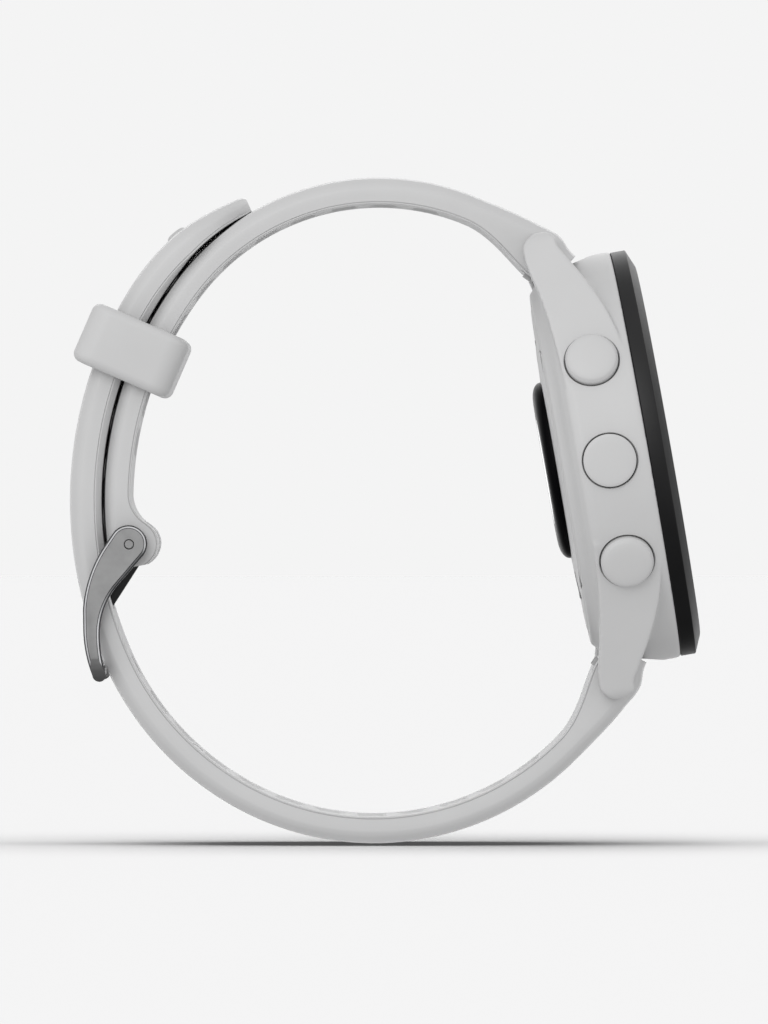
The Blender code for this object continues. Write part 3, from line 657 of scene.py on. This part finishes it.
def section(point, outward, outer, inner, half_width, pockets, rib=0.0):
    """A cross section: a flat side, a broad soft chamfer, a crowned outside and a lined inner edge.

    pockets is the section's distance along the strap and where the sweat channels start and end.
    """
    thick = outer + inner
    scale = min(1.0, thick / 2.4, half_width / 6.0)
    chamfer_in, chamfer_down = 1.15 * scale, 0.95 * scale
    lip, groove = 0.2 * scale, 0.1 * scale
    crown = CROWN * scale
    edge = outer - crown
    outline = []
    inner_steps = 26
    reach = half_width - 0.08
    rib_flank = 0.09 * reach
    for step in range(inner_steps + 1):
        y = -reach + 2 * reach * step / inner_steps
        lift = rib * ease((reach - abs(y)) / rib_flank)
        outline.append((y, -inner - lift + pocket(y, *pockets)))
    side = [(half_width, -inner + 0.08), (half_width, -inner + lip - 0.05)]
    side += [(half_width - groove, -inner + lip), (half_width, -inner + lip + 0.08)]
    side += [(half_width, 0.5 * (edge - chamfer_down - inner + lip))]
    side += [(half_width, edge - chamfer_down - 0.12), (half_width - 0.03, edge - chamfer_down)]
    for part in (0.12, 0.35, 0.6, 0.85):
        bulge = 0.1 * scale * math.sin(math.pi * part)
        side.append((half_width - chamfer_in * part + bulge, edge - chamfer_down * (1 - part) + bulge))
    flat = half_width - chamfer_in
    top = []
    for step in range(13):
        y = flat * (1 - step / 6)
        top.append((y, edge + crown * (1.0 - (y / half_width) ** 2)))
    outline += side + top + [(-y, n) for y, n in reversed(side)]
    width = Vector((0.0, 1.0, 0.0))
    return [tuple(point + width * y + outward * n) for y, n in outline]


def stations(start, end, step=0.4):
    count = round((end - start) / step)
    return [start + (end - start) * index / count for index in range(count + 1)]


def long_strap():
    total = sum(radius * math.radians(abs(turn)) for radius, turn in LONG_ARCS)
    tip_start = total - TIP_LENGTH
    places = ROUND_END + stations(0.0, tip_start)
    places += [tip_start + TIP_LENGTH * math.sin(math.pi / 2 * step / 20) for step in range(1, 20)]
    places.append(total - 0.005)
    loops = []
    for distance in places:
        outer, inner = crown_height(distance), bar_end(distance)
        width = STRAP_HALF_WIDTH
        beyond = distance - tip_start
        if beyond > 0.0:
            width *= math.sqrt(1.0 - (beyond / (TIP_LENGTH + 0.2)) ** 2)
            round_off = math.sqrt(max(1.0 - (max(beyond - 7.2, 0.0) / 0.84) ** 2, 0.0))
            outer -= TIP_SLIM * beyond / TIP_LENGTH + 0.5 * (1.0 - round_off)
            inner -= 0.5 * beyond / TIP_LENGTH + 0.25 * (1.0 - round_off)
        point, outward = on_long(distance)
        rib = 0.0
        if distance > RIB_START:
            room = layer_gap(point) - CROWN_LIFT - 0.05
            rib = max(min(room, 0.75), 0.0)
            rib *= ease((distance - RIB_START) / 3.0) * ease((total - 6.0 - distance) / 4.0)
        pockets = (distance, POCKET_START, 62.0)
        loops.append(section(point, outward, outer, inner, width, pockets, rib))
    strap = raw("strap_hole_side_fine", lofted(loops))
    combine(strap, raw("holes", joined(hole_shapes())))
    combine(strap, lever_slot(1))
    painted(strap, "strap_silicone", ["strap_hole_side"], 28)
    raised_mark(total)


def raised_mark(total):
    """A small plain bar that stands proud of the strap's outside near its tip."""
    start, length, height, half_width = total - 8.9, 2.0, 0.24, 2.6
    loops = []
    for part in range(9):
        distance = start + length * part / 8
        point, outward = on_long(distance)
        beyond = max(distance - total + TIP_LENGTH, 0.0)
        top = HALF_THICKNESS + CROWN_LIFT - TIP_SLIM * beyond / TIP_LENGTH
        lift = top + height * min(1.0, 4.0 * min(part, 8 - part) / 8 + 0.35)
        side = [(half_width, top - 0.3), (half_width, lift - 0.06), (half_width - 0.08, lift)]
        outline = side + [(-y, n) for y, n in reversed(side)]
        width = Vector((0.0, 1.0, 0.0))
        loops.append([tuple(point + width * y + outward * n) for y, n in outline])
    shown("strap_raised_bar", lofted(loops), "strap_silicone", "case")


def hole_shapes():
    """The strap's holes. The one in use is slanted and longer, so that the tongue passes."""
    shapes = []
    for number in range(HOLE_COUNT):
        centre, outward = on_long(FIRST_HOLE + HOLE_PITCH * number)
        centre = (centre.x, centre.z)
        lean = math.atan2(outward.z, outward.x)
        if number == TONGUE_HOLE:
            heading = math.radians(TONGUE_HEADING)
            middle = tongue_place(8.5, 0.96)
            shapes.append(slanted_slot(middle, heading, 4.0, half_side=1.24, half_width=1.35, corner=0.5))
        else:
            shapes.append(slanted_slot(centre, lean, 4.0, half_side=1.05, half_width=1.6, corner=1.0))
    return shapes


def slanted_slot(centre, lean, half_run, half_side, half_width, corner):
    """A round-cornered slot run along the direction lean."""
    outline = []
    for sign_v, sign_y, start in ((1, 1, 0), (-1, 1, 90), (-1, -1, 180), (1, -1, 270)):
        middle = (sign_v * (half_side - corner), sign_y * (half_width - corner))
        outline += arc(middle, corner, start, start + 90, 6)

    def place(v, y, run):
        return (
            centre[0] + run * math.cos(lean) - v * math.sin(lean),
            y,
            centre[1] + run * math.sin(lean) + v * math.cos(lean),
        )

    return prism(outline, -half_run, half_run, place)


def short_strap():
    straight = SHORT_ARCS[0][0] * math.radians(SHORT_ARCS[0][1])
    offset = Vector((BUCKLE_PIN[0] - OVERLAP_CENTRE[0], BUCKLE_PIN[1] - OVERLAP_CENTRE[1]))
    turn = math.degrees(math.atan2(-offset.y, -offset.x)) + 180.0
    radius = SHORT_ARCS[1][0]
    at_pin = straight + radius * math.radians(turn - (SHORT_HEADING + SHORT_ARCS[0][1] - 90.0))
    inset = radius - offset.length
    end_round = 2.5
    places = ROUND_END + stations(0.0, at_pin)
    places += [at_pin + 2.46 * math.sin(math.pi / 2 * step / 16) for step in range(1, 17)]
    loops = []
    for distance in places:
        past = distance - at_pin
        outer, inner = crown_height(distance), bar_end(distance)
        end_height = HALF_THICKNESS + CROWN_LIFT
        if past > 0.0:
            outer = math.sqrt(end_round**2 - past**2) - end_round + end_height
        inner = max(inner, pin_end(past, inset))
        pockets = (distance, POCKET_START, at_pin - 9.0)
        loops.append(section(*on_short(distance), outer, inner, STRAP_HALF_WIDTH, pockets))
    strap = raw("strap_buckle_side_fine", lofted(loops))
    combine(strap, raw("pin_bore", rod(BUCKLE_PIN, 0.8, 11.0)))
    slot_centre = (BUCKLE_PIN[0], BUCKLE_PIN[1] - 3.6)
    slot = slanted_slot(slot_centre, 0.0, 6.0, half_side=6.0, half_width=1.75, corner=0.4)
    combine(strap, raw("tongue_slot", slot))
    combine(strap, lever_slot(-1))
    painted(strap, "strap_silicone", ["strap_buckle_side"], 28)


def pin_end(past, inset):
    """The strap's inner half round the pin: a round end, and a hollow fillet that runs into it."""
    end_radius, fillet = 2.62, 4.4
    depth = inset + 0.42
    run = math.sqrt((end_radius + fillet) ** 2 - (HALF_THICKNESS + fillet - depth) ** 2)
    meet = -run * end_radius / (end_radius + fillet)
    if past > meet:
        return depth + math.sqrt(max(end_radius**2 - past**2, 0.05))
    if past > -run:
        return HALF_THICKNESS + fillet - math.sqrt(fillet**2 - (past + run) ** 2)
    return HALF_THICKNESS


def lever_slot(end):
    """The spring bar's bore, with the window for its release lever."""
    bore = raw(f"bore_{end}", rod((end * BAR_X, BAR_Z), 1.05, 11.0, 24), CASE_FRAME)
    lean = math.radians(225 if end > 0 else 315)
    run = (math.cos(lean), math.sin(lean))
    outline = []
    for u, v in ((0.0, -1.0), (4.5, -1.0), (4.5, 1.0), (0.0, 1.0)):
        outline.append((end * BAR_X + u * run[0] - v * run[1], BAR_Z + u * run[1] + v * run[0]))
    combine(bore, raw(f"window_{end}", prism(outline, -7.9, -4.9, across), CASE_FRAME), "UNION")
    return bore


# Keeper and buckle


def keeper():
    """A band: one rounded section carried round the opening for the strap's two layers."""
    lean = math.radians(KEEPER_ANGLE)
    middle = (
        OVERLAP_CENTRE[0] + KEEPER_MIDDLE * math.cos(lean),
        OVERLAP_CENTRE[1] + KEEPER_MIDDLE * math.sin(lean),
    )
    half_radial, half_width, corner = 5.45, 12.2, 2.3
    wall, half_length, edge = 1.87, 3.25, 0.95
    across_wall = [(wall, -half_length + 0.25), (wall, half_length - 0.25), (wall - 0.25, half_length)]
    across_wall += [(edge * (1 - math.sin(a)), half_length - edge * (1 - math.cos(a))) for a in fan(7)]
    across_wall += [(edge * (1 - math.cos(a)), -half_length + edge * (1 - math.sin(a))) for a in fan(7)]
    across_wall += [(wall - 0.25, -half_length)]
    loops = []
    for sign_r, sign_y, start in ((1, 1, 0), (-1, 1, 90), (-1, -1, 180), (1, -1, 270)):
        centre = (sign_r * (half_radial - corner), sign_y * (half_width - corner))
        for step in range(11):
            angle = math.radians(start + 9 * step)
            loop = []
            for depth, length in across_wall:
                u = centre[0] + (corner - depth) * math.cos(angle)
                y = centre[1] + (corner - depth) * math.sin(angle)
                x = middle[0] + u * math.cos(lean) - length * math.sin(lean)
                z = middle[1] + u * math.sin(lean) + length * math.cos(lean)
                loop.append((x, y, z))
            loops.append(loop)
    shape = lofted(loops, closed=True)
    shown("keeper_loop_fine", shape, "strap_silicone", "keeper", ["keeper_loop"], smooth=50)


def fan(steps):
    """Angles that share out a quarter turn."""
    return [math.pi / 2 * step / steps for step in range(steps + 1)]


def arm_outline():
    """One side of the buckle, measured from its pin: a round head and a leg curved round the strap."""
    outline = arc((-0.06, 0.05), 1.95, -38, 146, 28)
    outline += arc((8.61, -7.63), 13.44, 147.5, 176.5, 18)
    outline += arc((9.26, -8.59), 14.04, 180, 200.5, 14)
    outline += arc((-3.1, -13.62), 0.72, 192, 350, 14)
    outline += arc((11.95, -9.33), 15.0, 196.5, 180, 10)
    outline += arc((4.75, -9.33), 7.8, 177, 142.2, 16)
    return outline


def inset_outline(outline, amount):
    """Moves each point of a counterclockwise outline inwards along its own normal."""
    moved = []
    for index, here in enumerate(outline):
        before, after = outline[index - 1], outline[(index + 1) % len(outline)]
        along = Vector((after[0] - before[0], after[1] - before[1])).normalized()
        moved.append((here[0] - along.y * amount, here[1] + along.x * amount))
    return moved


def buckle_arm(side):
    """An arm with flat faces, a rounded foot, and a polished bevel round its outer face, with painted shade
    along its edges.
    """
    steps = [(ARM_INNER_Y, 0.14), (ARM_INNER_Y + 0.14, 0.0), (11.6, 0.0), (11.78, 0.08)]
    steps += [(11.84, 0.14), (11.94, 0.28), (ARM_OUTER_Y, 0.36)]
    outline = arm_outline()
    loops = []
    for y, amount in steps:
        loop = [(BUCKLE_PIN[0] + x, side * y, BUCKLE_PIN[1] + z) for x, z in inset_outline(outline, amount)]
        loops.append(loop)
    arm = raw("arm", lofted(loops))
    arm.data.materials.append(MATERIALS["buckle_metal"])
    arm.data.materials.append(POLISHED)
    arm.data.materials.append(EDGE_SHADE_PAINT)
    # The bevel's broad ring is polished; its thin rings and the arm's narrow sides get painted shade, a dark
    # metal for their shaded outline
    polished_low, polished_high = 11.84 * MM, 11.96 * MM
    shade_low, shade_high = 10.56 * MM, 11.99 * MM
    for face in arm.data.polygons:
        depth = abs(sum(arm.data.vertices[index].co.y for index in face.vertices)) / len(face.vertices)
        if polished_low < depth < polished_high:
            face.material_index = 1
        elif shade_low < depth < shade_high:
            face.material_index = 2
    combine(arm, raw("pin_hole", rod(BUCKLE_PIN, 0.54, 13.0, 48)))
    # Seen along the watch, the outer side curves in towards the foot
    corner = [(side * 9.0, BUCKLE_PIN[1] + 4.0), (side * 12.2, BUCKLE_PIN[1] + 4.0)]
    for step in range(13):
        angle = math.pi / 2 * step / 12
        corner.append((side * (10.6 + 1.6 * math.cos(angle)), BUCKLE_PIN[1] - 9.4 - 5.2 * math.sin(angle)))
    corner.append((side * 9.0, BUCKLE_PIN[1] - 14.6))
    combine(arm, raw("corner", prism(corner, -40.0, -10.0, lengthwise)), "INTERSECT")
    return arm


def buckle_frame():
    """Two arms and the bar between their feet."""
    for side, word in ((-1, "near"), (1, "far")):
        arm = buckle_arm(side)
        replaced = ["buckle_frame"] if side < 0 else []
        finish_piece(arm, "buckle", replaced, 25)
        arm.name = f"buckle_{word}_arm"
    middle = (BUCKLE_PIN[0] + BAR_OFFSET[0], BUCKLE_PIN[1] + BAR_OFFSET[1])
    bar = []
    for sign_x, sign_z, start in ((1, 1, 0), (-1, 1, 90), (-1, -1, 180), (1, -1, 270)):
        corner = (middle[0] + sign_x * 0.12, middle[1] + sign_z * 0.32)
        bar += arc(corner, 0.3, start, start + 90, 8)
    shown("buckle_bar_fine", prism(bar, -10.6, 10.6, across), "buckle_metal", "buckle")


def buckle_pin():
    """The pin through the arms and the strap's end, with necked tips."""
    pin = [(0.0, -11.97), (0.4, -11.97), (0.46, -11.93), (0.48, -11.85), (0.48, -11.7), (0.54, -11.6)]
    pin += [(radius, -y) for radius, y in reversed(pin)]
    place = Matrix.Translation(Vector((BUCKLE_PIN[0], 0.0, BUCKLE_PIN[1])))
    space = place @ Matrix.Rotation(-math.pi / 2, 4, "X")
    shown("buckle_pin_fine", turned(pin, 48), "buckle_metal", "buckle", ["buckle_pin"], space, 20)


def buckle_tongue():
    """A bar from the pin through the strap's hole, with its tip bent down over the buckle's bar."""
    lean = math.radians(TONGUE_BEND)
    outer = arc((9.9, 2.65), 1.4, -90, TONGUE_BEND - 90, 10)
    inner = arc((9.9, 2.65), 0.7, TONGUE_BEND - 90, -90, 10)
    tip_outer = (outer[-1][0] + TONGUE_TIP * math.cos(lean), outer[-1][1] + TONGUE_TIP * math.sin(lean))
    tip_inner = (inner[0][0] + TONGUE_TIP * math.cos(lean), inner[0][1] + TONGUE_TIP * math.sin(lean))
    outline = arc((0.0, 0.0), 1.95, 90, 382.6, 30) + outer + [tip_outer, tip_inner] + inner
    outline = [tongue_place(u, v) for u, v in outline]
    tongue = raw("buckle_tongue_fine", prism(outline, -0.95, 0.95, across))
    combine(tongue, raw("tongue_bore", rod(BUCKLE_PIN, 0.7, 3.0)))
    bevel(tongue, 0.14, 3, 40.0)
    painted(tongue, "tongue_black", ["buckle_tongue"], 35, "tongue")


def tongue_place(u, v):
    heading = math.radians(TONGUE_HEADING)
    x = BUCKLE_PIN[0] + u * math.cos(heading) - v * math.sin(heading)
    return x, BUCKLE_PIN[1] + u * math.sin(heading) + v * math.cos(heading)


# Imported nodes


def finish_packed_nodes():
    """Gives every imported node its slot's material and smooth shading."""
    for row in frame["record"]["subparts"]:
        node = frame["nodes"][row["node"]]
        node.data.materials.clear()
        node.data.materials.append(MATERIALS[row["material_slot"]])
        node.data.shade_smooth()
        node.data.set_sharp_from_angle(angle=math.radians(40))


# Floor, light and camera


def floor():
    """The ground: seen by the camera, and hidden from the watch's own bounces and reflections."""
    mesh = bpy.data.meshes.new("floor")
    size = FLOOR_HALF_SIZE * MM
    corners = [(-size, -size, 0), (size, -size, 0), (size, size, 0), (-size, size, 0)]
    mesh.from_pydata(corners, [], [(0, 1, 2, 3)])
    made = bpy.data.objects.new("floor", mesh)
    made.location = (0.0, 0.0, FLOOR_Z * MM)
    bpy.context.scene.collection.objects.link(made)
    paint, _, shader = nodes_of("floor")
    shader.inputs["Base Color"].default_value = (0.2, 0.2, 0.2, 1.0)
    shader.inputs["Roughness"].default_value = 1.0
    shader.inputs["Specular IOR Level"].default_value = 0.0
    mesh.materials.append(paint)
    made.visible_diffuse = False
    made.visible_glossy = False
    made.visible_shadow = False
    return made


def area_light(name, place, size, energy, floor_object):
    """A soft light aimed at the watch that leaves the floor alone; place and size are in metres."""
    data = bpy.data.lights.new(name, "AREA")
    data.shape = "RECTANGLE"
    data.size, data.size_y = size
    data.energy = energy
    made = bpy.data.objects.new(name, data)
    made.location = place
    made.rotation_euler = (-Vector(place)).to_track_quat("-Z", "Y").to_euler()
    bpy.context.scene.collection.objects.link(made)
    group = bpy.data.collections.new(f"{name}_receivers")
    group.objects.link(floor_object)
    made.light_linking.receiver_collection = group
    group.collection_objects[0].light_linking.link_state = "EXCLUDE"
    return made


def lights(floor_object):
    """Two soft lights for the watch, one for the floor, and the room round them."""
    area_light("front_soft", (-0.3, -0.9, 0.45), (0.6, 0.6), 3.6, floor_object)
    area_light("back_soft", (0.2, 0.9, 0.5), (1.2, 0.5), 2.0, floor_object)
    overhead_on_floor(floor_object)
    room_light()


def room_light():
    """A world lit by direction, darker below for reflections, with a plain backdrop for the camera."""
    world = bpy.data.worlds.new("studio")
    bpy.context.scene.world = world
    world.use_nodes = True
    tree = world.node_tree
    room = tree.nodes["Background"]
    direction = tree.nodes.new("ShaderNodeTexCoord")
    parts = tree.nodes.new("ShaderNodeSeparateXYZ")
    tree.links.new(direction.outputs["Generated"], parts.inputs["Vector"])
    depth = spread(tree, parts.outputs["Y"], 0.0, 1.0)
    depth.node.inputs["From Min"].default_value = -1.0
    rings = tree.nodes.new("ShaderNodeValToRGB")
    while len(rings.color_ramp.elements) < len(ROOM_LIGHT):
        rings.color_ramp.elements.new(0.5)
    for element, (place, level) in zip(rings.color_ramp.elements, ROOM_LIGHT):
        element.position = (place + 1.0) / 2.0
        element.color = (level, level, level * 1.005, 1.0)
    tree.links.new(depth, rings.inputs["Fac"])
    tree.links.new(rings.outputs["Color"], room.inputs["Color"])
    ray = tree.nodes.new("ShaderNodeLightPath")
    ground = spread(tree, ray.outputs["Is Glossy Ray"], 0.95, 0.12)
    low = spread(tree, parts.outputs["Z"], 0.0, 1.0)
    low.node.inputs["From Min"].default_value = -0.65
    low.node.inputs["From Max"].default_value = -0.1
    tree.links.new(ground, low.node.inputs["To Min"])
    tree.links.new(low, room.inputs["Strength"])
    backdrop = tree.nodes.new("ShaderNodeBackground")
    backdrop.inputs["Color"].default_value = (BACKDROP, BACKDROP, BACKDROP, 1.0)
    mix = tree.nodes.new("ShaderNodeMixShader")
    tree.links.new(ray.outputs["Is Camera Ray"], mix.inputs["Fac"])
    tree.links.new(room.outputs["Background"], mix.inputs[1])
    tree.links.new(backdrop.outputs["Background"], mix.inputs[2])
    tree.links.new(mix.outputs["Shader"], tree.nodes["World Output"].inputs["Surface"])


def overhead_on_floor(floor_object):
    """A wide even light from above that only the floor receives."""
    data = bpy.data.lights.new("overhead", "SUN")
    data.energy = FLOOR_SUN
    data.angle = math.radians(80)
    made = bpy.data.objects.new("overhead", data)
    bpy.context.scene.collection.objects.link(made)
    group = bpy.data.collections.new("overhead_receivers")
    group.objects.link(floor_object)
    made.light_linking.receiver_collection = group


def camera():
    data = bpy.data.cameras.new("camera")
    data.lens = LENS_FOR_ONE_METRE * CAMERA_DISTANCE / 1000.0
    data.sensor_width = 36.0
    data.clip_end = 30.0
    made = bpy.data.objects.new("camera", data)
    made.location = (CAMERA_X * MM, -CAMERA_DISTANCE * MM, 0.0)
    made.rotation_euler = (math.pi / 2, 0.0, 0.0)
    bpy.context.scene.collection.objects.link(made)
    bpy.context.scene.camera = made
    bpy.context.scene.view_settings.view_transform = "Standard"


camera()
floor_object = floor()
lights(floor_object)
finish_packed_nodes()
case_solid()
for button_name, button_along, button_side in BUTTONS:
    button_cap(button_name, button_along, button_side)
bezel_and_glass()
rear_cover()
sensor()
long_strap()
short_strap()
keeper()
buckle_frame()
buckle_pin()
buckle_tongue()
